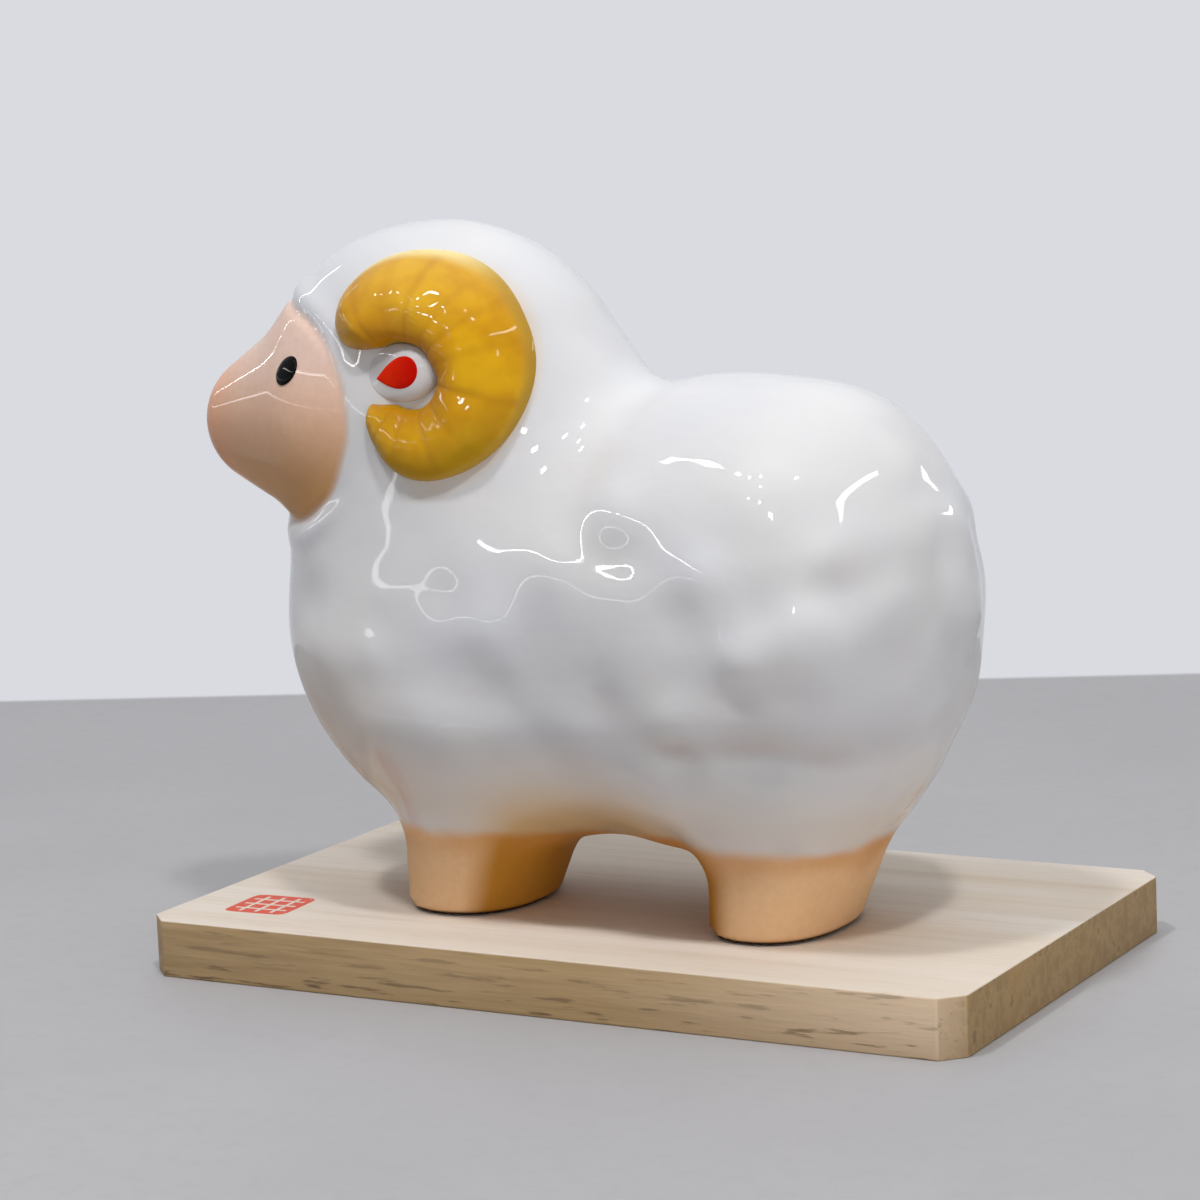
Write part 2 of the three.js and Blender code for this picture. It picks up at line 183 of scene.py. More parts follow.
# Large soft tufts and hollows of a flank: centre x and z, reach and height
TUFTS = [
    (-39.9, 46.9, 2.8, -0.41), (-37.5, 39.7, 3.5, 0.73), (-34.8, 53.2, 3.8, 0.37),
    (-33.9, 39.9, 4.8, 0.78), (-29.6, 31.6, 5.0, 0.31), (-29.1, 29.4, 3.3, 0.57),
    (-26.4, 28.5, 5.0, 0.35), (-25.9, 40.4, 2.6, 0.59), (-24.2, 29.6, 5.3, 0.30),
    (-19.3, 30.1, 5.2, 0.35), (-17.7, 29.4, 5.0, 0.37), (-16.2, 30.3, 3.6, 0.50),
    (-13.7, 49.4, 2.6, -0.48), (-11.7, 37.7, 3.3, -0.53), (-6.7, 44.6, 2.9, 0.55),
    (-6.4, 29.6, 3.5, 0.51), (-6.3, 35.8, 2.6, -0.42), (3.6, 53.4, 3.4, 0.78),
    (3.9, 30.8, 3.6, 0.49), (6.2, 30.5, 3.6, 0.49), (12.0, 35.8, 2.4, -0.46),
    (12.3, 55.4, 2.6, -0.42), (12.9, 62.2, 3.2, 0.65), (16.4, 56.0, 2.7, -0.53),
    (21.5, 32.7, 2.5, 0.66), (22.1, 27.8, 2.4, -0.95), (24.2, 47.8, 2.7, -0.49),
    (24.9, 34.0, 2.9, 0.63), (27.9, 53.8, 2.8, 0.71), (30.0, 27.9, 2.5, -0.76),
    (32.7, 37.0, 2.5, -0.61), (33.4, 42.4, 2.6, 0.86), (33.8, 27.9, 2.8, -0.86),
    (34.2, 64.7, 3.6, 0.67), (36.3, 49.7, 2.7, -0.44), (37.4, 27.5, 3.4, -0.84),
    (39.3, 43.7, 3.6, 0.77), (40.5, 37.3, 2.7, -0.50), (42.0, 25.9, 2.6, -0.81),
    (42.3, 48.1, 2.3, 0.45), (43.5, 43.9, 3.6, 0.65), (44.0, 56.1, 2.3, 0.47),
    (45.7, 51.6, 2.4, -0.57), (48.2, 26.5, 3.5, -0.64), (51.5, 49.7, 2.3, 0.41),
    (51.6, 41.8, 2.5, -0.41)]
FAR_SHIFT = (4.0, 2.0)

# Small corrections to the outline: centre x and z, reach and height
OUTLINE = [(4.0, 80.5, 5.0, 0.9), (15.5, 13.5, 3.2, -1.2), (52.6, 58.0, 5.0, 0.7),
           (-44.0, 59.5, 4.5, -0.35)]


def ellipsoid(p, mass):
    """Distance to an ellipsoid, negative inside."""
    x, z, length, width, height = mass
    q = p - np.array((x, 0, z))
    r = np.array((length, width, height)) / 2
    near = np.linalg.norm(q / r, axis=1)
    slope = np.linalg.norm(q / r ** 2, axis=1)
    return near * (near - 1) / np.maximum(slope, 1e-9)


def snout(p):
    """Distance to the cone between the cheek's ball and the nose's ball."""
    axis = np.array((NOSE[0] - CHEEK[0], NOSE[1] - CHEEK[1]))
    length = np.linalg.norm(axis)
    dx, dz = p[:, 0] - CHEEK[0], p[:, 2] - CHEEK[1]
    along = (dx * axis[0] + dz * axis[1]) / length
    across = np.sqrt(np.maximum(dx ** 2 + p[:, 1] ** 2 + dz ** 2 - along ** 2, 0))
    sine = (CHEEK[2] - NOSE[2]) / length
    t = np.clip(along - across * sine / math.sqrt(1 - sine ** 2), 0, length)
    return np.hypot(along - t, across) - (CHEEK[2] + (NOSE[2] - CHEEK[2]) * t / length)


def leg(p, foot):
    """Distance to an oval leg that widens upwards and has a rounded bottom edge."""
    middle, length, width = foot
    x, y, z = p.T
    up = np.maximum(z, 0)
    a = length / 2 + FOOT_FLARE * up
    b = width / 2 + FOOT_FLARE * up
    total = (np.abs((x - middle - FOOT_LEAN * up) / a) ** FOOT_FULLNESS
             + np.abs(y / b) ** FOOT_FULLNESS)
    side = (total ** (1 / FOOT_FULLNESS) - 1) * np.minimum(a, b) + FOOT_EDGE
    low = FOOT_EDGE - z
    rounded = (np.minimum(np.maximum(side, low), 0)
               + np.hypot(np.maximum(side, 0), np.maximum(low, 0)) - FOOT_EDGE)
    return np.maximum(rounded, z - LEG_TOP)


def blended(a, b, soft):
    """Two forms run together over a soft hollow."""
    h = np.clip(0.5 + (b - a) / (2 * soft), 0, 1)
    return b + (a - b) * h - soft * h * (1 - h)


def ram_form(p):
    form = blended(ellipsoid(p, BARREL), ellipsoid(p, CHEST), BODY_BLEND)
    form = blended(form, ellipsoid(p, RUMP), BODY_BLEND)
    form = blended(form, ellipsoid(p, HOOD), NECK_BLEND)
    form = blended(form, snout(p), FACE_BLEND)
    form = blended(form, np.minimum(leg(p, FRONT_FOOT), leg(p, REAR_FOOT)), LEG_BLEND)
    return blended(form, ellipsoid(p, TAIL), TAIL_BLEND)


def gradient(field, p, step):
    return np.stack([(field(p + d) - field(p - d)) / (2 * step) for d in np.eye(3) * step],
                    axis=1)


def uphill(p):
    return gradient(ram_form, p, 0.05)


def onto_form(p, rounds):
    for _ in range(rounds):
        g = uphill(p)
        p = p - g * (ram_form(p) / np.maximum((g * g).sum(axis=1), 1e-6))[:, None]
    return p


def outward(p):
    g = uphill(p)
    return g / np.maximum(np.linalg.norm(g, axis=1), 1e-9)[:, None]


def side_surface(x, z):
    """Half width of the ram at places in its side view."""
    inside, outside = np.zeros_like(x), np.full_like(x, 45.0)
    for _ in range(26):
        middle = (inside + outside) / 2
        within = ram_form(np.stack((x, middle, z), axis=1)) < 0
        inside = np.where(within, middle, inside)
        outside = np.where(within, outside, middle)
    return (inside + outside) / 2


def ramp(value, low, high):
    """0 below low, 1 above high, and a smooth rise between them."""
    t = np.clip((value - low) / (high - low), 0, 1)
    return t * t * (3 - 2 * t)


def grain(p, size, shift=0.0):
    """Smooth uneven pattern, about -1 to 1, that is the same on every run."""
    return np.array([noise.noise(Vector(q) / size + Vector((shift, 2 * shift, -shift)))
                     for q in p])


def tufts(p):
    """Height of the large tufts. The far flank has the same ones, a little further back."""
    far = p[:, 1] > 0
    x, z = p[:, 0] - FAR_SHIFT[0] * far, p[:, 2] - FAR_SHIFT[1] * far
    height = np.zeros(len(p))
    for tuft_x, tuft_z, reach, rise in TUFTS:
        height += rise * np.exp(-((x - tuft_x) ** 2 + (z - tuft_z) ** 2) / (2 * reach ** 2))
    return height


def on_flank(p, n):
    """1 on the flanks, falling to 0 towards the back, the belly and both ends."""
    return (ramp(np.abs(n[:, 1]), 0.1, 0.5) * ramp(np.abs(p[:, 1]), 3, 10)
            * ramp(p[:, 2], *WOOL_LOW))


def face_distance(p):
    """Below 1 in front of the line between face and hood, above 1 behind it."""
    dx, dz = p[:, 0] - FACE_X, p[:, 2] - FACE_Z
    u = dx * math.cos(FACE_TILT) - dz * math.sin(FACE_TILT)
    w = dx * math.sin(FACE_TILT) + dz * math.cos(FACE_TILT)
    return np.hypot(np.maximum(u, 0) / FACE_DEPTH, w / FACE_HALF_HEIGHT)


def wool(p, n, depth):
    """Height of the soft tufts above the form."""
    flank = on_flank(p, n)
    waves = 1.9 * grain(p * np.array((0.8, 0.8, 1.1)), WAVE_SIZE)
    small = waves + 0.35 * grain(p, RIPPLE_SIZE, 3.7)
    small *= (1 - 0.72 * ramp(p[:, 2], *WOOL_HIGH)) * ramp(p[:, 2], *WOOL_LOW)
    small *= ramp(face_distance(p), 0.98, 1.25)
    return depth * (flank * tufts(p) + WAVE_SHARE * (1 - 0.85 * flank) * small)


def brow(p):
    """Height of the hood's soft edge and of the hollow between it and the face."""
    behind = (face_distance(p) - 1) * FACE_DEPTH
    edge = (LIP_HEIGHT * np.exp(-((behind - LIP_BACK) / LIP_WIDTH) ** 2)
            - LIP_GROOVE * np.exp(-(behind / LIP_GROOVE_WIDTH) ** 2))
    middle = np.abs(p[:, 2] - FACE_Z)
    return edge * (0.22 + 0.78 * ramp(middle, 9, 15)) * (1 - ramp(p[:, 0], -27, -22))


def outline(p, n):
    """Height of the corrections along the ram's outline."""
    height = np.zeros(len(p))
    for x, z, reach, rise in OUTLINE:
        height += rise * np.exp(-((p[:, 0] - x) ** 2 + (p[:, 2] - z) ** 2) / reach ** 2)
    return height * (1 - 0.7 * np.abs(n[:, 1]))


def relief(p, n, depth):
    return wool(p, n, depth) + brow(p) + outline(p, n)


def relief_normals(p, depth):
    """Directions square to the ram's skin, worked out from the form and its relief."""
    n = outward(p)
    g = gradient(lambda q: relief(q, n, depth), p, 0.2)
    n = n - g + n * (g * n).sum(axis=1)[:, None]
    return n / np.linalg.norm(n, axis=1)[:, None]


def column(items, key, width, kind=np.float64):
    """One property of all of a mesh's items."""
    flat = np.empty(len(items) * width, dtype=kind)
    items.foreach_get(key, flat)
    return flat.reshape(-1, width)


def points_of(mesh):
    return column(mesh.vertices, "co", 3)


def put_points(mesh, p):
    mesh.vertices.foreach_set("co", np.asarray(p, dtype=np.float64).ravel())
    mesh.update()


def mesh_of(bm, name):
    mesh = bpy.data.meshes.new(name)
    bm.to_mesh(mesh)
    bm.free()
    return mesh


def held(data):
    """A mesh, lamp or camera in an object of its own, in the scene."""
    made = bpy.data.objects.new(data.name, data)
    bpy.context.scene.collection.objects.link(made)
    return made


def applied(piece):
    """The mesh that an object's modifiers make. The object goes."""
    graph = bpy.context.evaluated_depsgraph_get()
    made = bpy.data.meshes.new_from_object(piece.evaluated_get(graph))
    bpy.data.objects.remove(piece)
    return made


def face_outward(mesh):
    bm = bmesh.new()
    bm.from_mesh(mesh)
    bmesh.ops.recalc_face_normals(bm, faces=bm.faces)
    bm.to_mesh(mesh)
    bm.free()


def cut(mesh, operation, tools):
    """A closed mesh cut by closed tools."""
    work = held(mesh.copy())
    helpers = [held(tool) for tool in tools]
    for helper in helpers:
        step = work.modifiers.new("cut", 'BOOLEAN')
        step.operation = operation
        step.solver = 'MANIFOLD'
        step.object = helper
    made = applied(work)
    for helper in helpers:
        bpy.data.objects.remove(helper)
    return made


def corner_normals(mesh, normals):
    """Each corner's normal: the skin's own, or the face's where a cut made the face."""
    corner = column(mesh.loops, "vertex_index", 1, np.int32)[:, 0]
    sides = column(mesh.polygons, "loop_total", 1, np.int32)[:, 0]
    face = np.repeat(column(mesh.polygons, "normal", 3), sides, axis=0)
    skin = (normals[corner] * face).sum(axis=1) > 0.7
    return np.where(skin[:, None], normals[corner], 0)


def finish(mesh, name, material, body, nodes, crease=38, normals=None):
    """Turns a mesh in millimetres into a finished piece of the frame."""
    mesh.transform(TO_FRAME)
    for face in mesh.polygons:
        face.use_smooth = True
    mesh.set_sharp_from_angle(angle=crease * DEGREE)
    if normals is not None:
        mesh.normals_split_custom_set(corner_normals(mesh, normals))
    mesh.materials.clear()
    mesh.materials.append(material)
    mesh.name = name
    piece = held(mesh)
    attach(piece, body)
    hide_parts(*nodes)


def round_mesh(name, around, along):
    """A ball of radius 1 with its poles on Y."""
    bm = bmesh.new()
    bmesh.ops.create_uvsphere(bm, u_segments=around, v_segments=along, radius=1,
                              matrix=Matrix.Rotation(math.pi / 2, 4, 'X'))
    return mesh_of(bm, name)


def lay_on(mesh, side, x, z, height):
    """Lays a mesh on one side of the ram, at places of its side view."""
    put_points(mesh, np.stack((x, side * (side_surface(x, z) + height), z), axis=1))
    face_outward(mesh)


def note(mesh, name, values):
    """Keeps a number for each corner, for the material to read."""
    layer = mesh.attributes.new(name, 'FLOAT', 'POINT')
    layer.data.foreach_set("value", np.asarray(values, dtype=np.float32))


def placed(x, z, length=1, width=1, height=1):
    """Stretches a shape and moves it to a place of the side view."""
    return Matrix.Translation((x, 0, z)) @ Matrix.Diagonal((length, width, height, 1))


def rough_masses():
    """The ram's masses as plain overlapping shapes."""
    bm = bmesh.new()
    for mass in (BARREL, CHEST, RUMP, HOOD, TAIL):
        bmesh.ops.create_icosphere(bm, subdivisions=4, radius=0.5, matrix=placed(*mass))
    for x, z, radius in (CHEEK, NOSE):
        bmesh.ops.create_icosphere(bm, subdivisions=4, radius=radius, matrix=placed(x, z))
    for x, length, width in (FRONT_FOOT, REAR_FOOT):
        top = LEG_TOP - 2
        shape = placed(x + FOOT_LEAN * top / 2, top / 2, length, width)
        bmesh.ops.create_cone(bm, cap_ends=True, segments=64, radius1=0.5, radius2=0.62,
                              depth=top, matrix=shape)
    return mesh_of(bm, "rough_masses")


def evened(p, edges, rounds):
    """Spreads corners evenly over the form."""
    a, b = edges[:, 0], edges[:, 1]
    count = np.maximum(np.bincount(np.concatenate((a, b)), minlength=len(p)), 1)[:, None]
    for _ in range(rounds):
        total = np.stack([np.bincount(a, p[b, i], len(p)) + np.bincount(b, p[a, i], len(p))
                          for i in range(3)], axis=1)
        move = total / count - p
        n = outward(p)
        move -= n * (move * n).sum(axis=1)[:, None]
        p = onto_form(p + 0.6 * move, 1)
    return p


def ram_skin(depth, voxel):
    """The whole ram as one closed skin with soft tufts."""
    work = held(rough_masses())
    step = work.modifiers.new("join", 'REMESH')
    step.mode = 'VOXEL'
    step.voxel_size = voxel
    skin = applied(work)
    p = onto_form(points_of(skin), 5)
    p = evened(p, column(skin.edges, "vertices", 2, np.int32), 6)
    p = onto_form(p, 2)
    n = outward(p)
    put_points(skin, p + n * relief(p, n, depth)[:, None])
    return skin


def face_tool():
    """Everything in front of the line between face and hood."""
    bm = bmesh.new()
    made = bmesh.ops.create_cone(bm, cap_ends=True, segments=128, radius1=1, radius2=1,
                                 depth=90, matrix=Matrix.Rotation(math.pi / 2, 4, 'X'))
    for vert in made["verts"]:
        vert.co.x *= FACE_DEPTH
        vert.co.z *= FACE_HALF_HEIGHT
        if vert.co.x < -1e-4:
            vert.co.x -= 60
    bmesh.ops.rotate(bm, verts=bm.verts, matrix=Matrix.Rotation(FACE_TILT, 3, 'Y'))
    bmesh.ops.translate(bm, verts=bm.verts, vec=(FACE_X, 0, FACE_Z))
    bmesh.ops.recalc_face_normals(bm, faces=bm.faces)
    return mesh_of(bm, "face_tool")


def tail_tool():
    x, z, length, width, height = TAIL
    shape = placed(x + 3, z, length + 9, width + 6, height + 6)
    bm = bmesh.new()
    bmesh.ops.create_uvsphere(bm, u_segments=64, v_segments=32, radius=0.5, matrix=shape)
    return mesh_of(bm, "tail_tool")


def low_tool(front):
    """A block round one foot, up to the seam with the body."""
    low_x, high_x = (FRONT_END, BETWEEN_FEET) if front else (BETWEEN_FEET, REAR_END)
    bm = bmesh.new()
    bmesh.ops.create_cube(bm, size=1, matrix=placed(
        (low_x + high_x) / 2, FOOT_SEAM / 2 - 2, high_x - low_x, 80, FOOT_SEAM + 4))
    return mesh_of(bm, "low_tool")


def vent_tool():
    bm = bmesh.new()
    bmesh.ops.create_cone(bm, cap_ends=True, segments=64, radius1=VENT_RADIUS + 0.1,
                          radius2=VENT_RADIUS, depth=VENT_DEPTH,
                          matrix=placed(0, VENT_LOW + VENT_DEPTH / 2))
    return mesh_of(bm, "vent_tool")


class Value:
    """A number in a shader. Each sum, product or comparison of it adds a node."""

    def __init__(self, maker, socket):
        self.maker = maker
        self.socket = socket

    def _math(self, operation, *values):
        return self.maker.node("ShaderNodeMath", {"operation": operation},
                               dict(enumerate(values)))

    def __add__(self, other):
        return self._math('ADD', self, other)

    def __radd__(self, other):
        return self._math('ADD', other, self)

    def __sub__(self, other):
        return self._math('SUBTRACT', self, other)

    def __rsub__(self, other):
        return self._math('SUBTRACT', other, self)

    def __mul__(self, other):
        return self._math('MULTIPLY', self, other)

    def __rmul__(self, other):
        return self._math('MULTIPLY', other, self)

    def power(self, exponent):
        return self._math('POWER', self, exponent)

    def absolute(self):
        return self._math('ABSOLUTE', self)

    def cosine(self):
        return self._math('COSINE', self)

    def larger(self, other):
        return self._math('MAXIMUM', self, other)

    def between(self, low, high):
        """0 at low and before it, 1 at high and beyond it, smooth between them."""
        return self.maker.node("ShaderNodeMapRange",
                               {"interpolation_type": 'SMOOTHSTEP'},
                               {"Value": self, "From Min": low, "From Max": high})


class Nodes:
    """The nodes of one material or of the world."""

    def __init__(self, tree):
        self.tree = tree

    def node(self, kind, settings=None, values=None, output=0):
        """A node with its settings and sockets filled. A list of outputs gives a list."""
        made = self.tree.nodes.new(kind)
        for key, value in (settings or {}).items():
            setattr(made, key, value)
        for key, value in (values or {}).items():
            self.join(made.inputs[key], value)
        if isinstance(output, (list, tuple)):
            return [Value(self, made.outputs[key]) for key in output]
        return Value(self, made.outputs[output])

    def join(self, socket, value):
        if isinstance(value, Value):
            self.tree.links.new(value.socket, socket)
        elif socket.type == 'RGBA' and len(value) == 3:
            socket.default_value = (*value, 1)
        else:
            socket.default_value = value

    def mix(self, factor, low, high):
        """Colour low where factor is 0 and high where it is 1."""
        return self.node("ShaderNodeMix", {"data_type": 'RGBA'},
                         {0: factor, 6: low, 7: high}, output=2)

    def layered(self, colour, *layers):
        """A colour with others laid over it in turn, each a (factor, colour) pair."""
        for factor, over in layers:
            colour = self.mix(factor, colour, over)
        return colour

    def seen(self):
        """1 for what the camera, a gloss or a glass sees, 0 for light on the object."""
        camera, gloss, glass = self.node("ShaderNodeLightPath", output=(
            "Is Camera Ray", "Is Glossy Ray", "Is Transmission Ray"))
        return camera.larger(gloss).larger(glass)


class Paint(Nodes):
    """One material and the nodes in it."""

    def __init__(self, name):
        self.material = bpy.data.materials.new(name)
        self.material.use_nodes = True
        super().__init__(self.material.node_tree)
        self.shader = self.tree.nodes["Principled BSDF"]
        self.place = self.node("ShaderNodeTexCoord", output="Object")

    def noted(self, name):
        """A number kept on the mesh."""
        return self.node("ShaderNodeAttribute", {"attribute_name": name}, output="Fac")

    def noise(self, scale, detail=2.0, rough=0.5, stretch=None):
        place = self.place
        if stretch:
            place = self.node("ShaderNodeMapping", values={"Vector": place, "Scale": stretch})
        return self.node("ShaderNodeTexNoise", values={
            "Vector": place, "Scale": scale, "Detail": detail, "Roughness": rough})

    def axes(self, vector=None):
        return self.node("ShaderNodeSeparateXYZ", values={0: vector or self.place},
                         output=(0, 1, 2))

    def bump(self, height, distance):
        return self.node("ShaderNodeBump", values={"Height": height, "Distance": distance})

    def surface(self, **values):
        for key, value in values.items():
            self.join(self.shader.inputs[key.replace("_", " ")], value)
        return self.material


def linear(colour):
    """A screen colour, 0 to 255, as the numbers a shader works with."""
    return tuple(((c / 255 + 0.055) / 1.055) ** 2.4 if c > 10 else c / 255 / 12.92
                 for c in colour)


def glaze(paint, colour, coat=1.0, wave=0.0002):
    """A clear glossy coat over paint, with the faint waves of fired glaze."""
    ripple = paint.noise(170.0, 2.0, 0.4)
    pits = paint.noise(1400.0, 1.0, 0.5)
    return paint.surface(Base_Color=colour, Roughness=0.22,
                         Normal=paint.bump(ripple + pits * 0.06, wave), Coat_Weight=coat,
                         Coat_Roughness=0.03, Coat_IOR=1.36, Specular_IOR_Level=0.0)


def casting_paint(colours):
    """White glaze that turns peach on the face and feet, with a sprayed yellow haze round the
    horns, and painted light and shade: darker hollows, warm shade and bounce light low on the
    body, a sheen on the brow, shade under the jaw and a contact shadow under the feet.
    """
    paint = Paint("white_glaze")
    x, y, z = paint.axes()
    cloud = paint.noise(38.0, 3.0, 0.55)
    speck = paint.noise(900.0, 2.0, 0.6)
    # Painted warm shade and bounce light low on the body
    warm_shade = paint.noted("warm_shade")
    white = paint.layered(
        colours.white,
        (cloud.between(0.35, 0.7), colours.white_cool),
        # Painted shade, partly pooled glaze: the white darkens in the hollows and under the
        # tufts, more so low on the body
        (paint.noted("hollow") * (z.between(*POOLED_AND_SHADE_Z) * 0.7 + 0.3), colours.white_pooled_and_shaded),
        (paint.noted("haze") * cloud.between(0.2, 0.6) * 0.5, colours.yellow),
        (warm_shade, colours.warm_shade))
    foot = z.between(*FOOT_Z)
    peach = paint.layered(
        colours.peach,
        # Painted sheen: the face turns paler and pinker towards the brow
        (z.between(*BROW_SHEEN_Z) * 0.7, colours.peach_sheen),
        # Darker and browner towards the jaw: partly the glaze's own tone, partly painted shade
        (z.between(*JAW_SHADE_Z) * 0.9, colours.peach_under_shade),
        (x.between(*NOSE_X) * 0.6, colours.peach_nose),
        (foot, colours.peach_foot),
        # Painted shade on the feet where they face each other
        (foot * warm_shade, colours.peach_shade),
        (speck.between(0.3, 0.8) * 0.12, colours.peach_under_shade))
    edge = paint.noted("peach")
    band = edge * (1.0 - edge) * 4.0 * (1.0 - foot)
    colour = paint.layered(
        white,
        (edge, peach),
        (band * 0.2 + paint.noted("foot_top"), colours.peach_edge),
        # Painted contact shadow along the very bottom of the feet
        (z.between(*CONTACT_SHADOW_Z), colours.contact_shadow))
    return glaze(paint, colour, coat=1.0 - edge * 0.6 - edge * foot * 0.25)


def horn_paint(colours):
    """Yellow glaze, browner in the grooves, with painted shade on the inner side, on the lower
    arm's outer side and at the root end, and pale where it thins over the crown, there with
    painted light.
    """
    paint = Paint("yellow_glaze")
    _, _, z = paint.axes()
    cloud = paint.noise(120.0, 3.0, 0.6)
    gold = paint.layered(
        colours.yellow,
        (cloud.between(0.3, 0.75), colours.yellow_deep),
        (paint.noted("groove") * 0.28, colours.amber_pooled_and_shaded),
        # Painted shade along the horn's inner side, where it curves under
        (paint.noted("inner_shade") * 0.6, colours.amber_pooled_and_shaded),
        # Thin glaze at both edges, with painted shade on the lower arm's outer side and at the
        # root end
        (paint.noted("edge") * 0.65, colours.olive_thin_and_shaded),
        # Painted light: paler towards the top of the horns, and along the upper outer rim where
        # the glaze also thins
        (z.between(*CROWN_LIGHT_Z) * 0.14, colours.cream_thin_and_lit),
        (paint.noted("rim") * cloud.between(0.0, 0.45), colours.cream_thin_and_lit))
    return glaze(paint, gold, coat=0.65)


def drop_paint(colours):
    paint = Paint("red_glaze")
    x, _, _ = paint.axes()
    blunt = (x + paint.noise(300.0, 3.0, 0.6) * 0.003).between(*BLUNT_X)
    return glaze(paint, paint.mix(blunt, colours.red, colours.red_deep), coat=0.06)


def eye_paint(colours):
    paint = Paint("black_glaze")
    cloud = paint.noise(260.0, 2.0, 0.5)
    black = paint.mix(cloud.between(0.3, 0.8), colours.black, colours.black_soft)
    return glaze(paint, black, coat=0.3, wave=0.00005)


def wood_paint(colours):
    """Pale planed top with fine grain along X, tan sawn sides and mottled ends."""
    wood = Paint("pale_wood")
    x, y, z = wood.axes()
    facing_end, _, facing_up = wood.axes(wood.node("ShaderNodeNewGeometry", output="Normal"))
    rings = wood.noise(9.0, 3.0, 0.5, stretch=(0.35, 6.0, 2.0))
    fibre = wood.noise(330.0, 4.0, 0.7, stretch=(0.06, 1.0, 1.0))
    pores = wood.noise(1500.0, 2.0, 0.6, stretch=(0.06, 1.0, 1.0))
    streak = (y - STREAK_Y - rings * 0.012).absolute().between(STREAK_WIDTH, 0.0)
    top = wood.layered(
        colours.wood,
        (rings.between(0.42, 0.62) * 0.8, colours.wood_streak),
        (fibre.between(0.4, 0.8) * 0.5, colours.wood_grain),
        (pores.between(0.58, 0.72) * 0.35, colours.wood_grain),
        (streak * x.between(0.0, 0.03) * 0.5, colours.wood_grain),
        (seal_ink(wood, x, y), colours.seal))

    low = z.between(*FLECKED_Z)
    blotch = wood.noise(60.0, 2.0, 0.5, stretch=(0.4, 1.0, 2.0))
    dashes = wood.noise(950.0, 3.0, 0.55, stretch=(0.11, 1.0, 1.0))
    side = wood.layered(
        colours.wood_side,
        (fibre.between(0.3, 0.75), colours.wood_dark),
        (blotch.between(0.45, 0.7) * 0.4, colours.wood_ochre),
        # Painted light: the sides grow paler towards the right
        (x.between(*LIT_SIDE_X) * 0.75, colours.wood_side_lit),
        (dashes.between(0.57, 0.67) * (low * 0.6 + 0.35), colours.wood_fleck),
        (low * 0.25, colours.wood_ochre))
    mottle = wood.noise(620.0, 3.0, 0.6, stretch=(1.0, 0.9, 0.7))
    end = wood.layered(
        colours.wood_dark,
        (mottle.between(0.38, 0.62), colours.wood_end),
        (wood.noise(70.0, 2.0, 0.5).between(0.45, 0.6) * 0.5, colours.wood_ochre),
        (mottle.between(0.6, 0.7) * 0.45, colours.wood_fleck))
    colour = wood.layered(
        side,
        (facing_end.absolute().between(0.45, 0.95), end),
        (facing_up.between(0.35, 0.75), top))
    relief = wood.bump(fibre * 0.5 + pores * 0.3 + dashes * 0.3, 0.00018)
    return wood.surface(Base_Color=colour, Roughness=0.74 - fibre * 0.12, Normal=relief)


def seal_ink(wood, x, y):
    """How thickly the ink of a plain stamped lattice covers the board."""
    turn = SEAL_TURN
    dx, dy = x - SEAL_X, y - SEAL_Y
    half = 2 / SEAL_SIZE
    u = (dx * math.cos(turn) - dy * math.sin(turn)) * half
    v = (dx * math.sin(turn) + dy * math.cos(turn)) * half
    frayed = wood.noise(1600.0, 3.0, 0.6)
    wander = (frayed - 0.5) * 0.12
    square = ((u * u).power(4.0) + (v * v).power(4.0) + wander).between(1.05, 0.9)
    bars_u = ((u * 4 * math.pi).cosine() + wander * 2).between(0.88, 0.66)
    bars_v = ((v * 4 * math.pi).cosine() + wander * 2).between(0.88, 0.66)
    inside = u.absolute().larger(v.absolute()).between(0.84, 0.80)
    lattice = 1.0 - (1.0 - bars_u * bars_v) * inside
    return square * lattice * frayed.between(0.22, 0.38) * 0.92


def colour(name, description, default):
    return bpy.props.FloatVectorProperty(name=name, description=description, subtype='COLOR',
                                         size=3, min=0, max=1, default=linear(default))


def length(name, description, default, low=0.0, high=1.0):
    return bpy.props.FloatProperty(name=name, description=description, unit='LENGTH',
                                   default=default, min=low, max=high, precision=5)


class RamSizes(bpy.types.PropertyGroup):
    """Sizes of the relief and of the laid-on pieces."""
    wool_depth: length("Wool depth", "Height of the soft tufts", 0.001)
    skin_voxel: length("Skin fineness", "Size of one facet of the skin", 0.00075, 0.0003)
    horn_rise: length("Horn rise", "How far the horns stand off the head", 0.0043)
    groove_depth: length("Groove depth", "Depth of the grooves across the horns", 0.00013)
    ear_length: length("Ear length", "Length of the ear inside the curl", 0.0112)
    ear_height: length("Ear height", "Height of the ear inside the curl", 0.0083)
    ear_rise: length("Ear rise", "How far the ears stand off the head", 0.0019)
    drop_length: length("Drop length", "Length of the painted drop", 0.0074)
    drop_width: length("Drop width", "Width of the painted drop", 0.0046)
    eye_length: length("Eye length", "Length of the eye", 0.0042)
    eye_height: length("Eye height", "Height of the eye", 0.0041)
    board_corner: length("Board corner", "Length cut off each corner of the board", 0.0032)
    board_edge: length("Board edge", "Rounding of the board's edges", 0.0003)


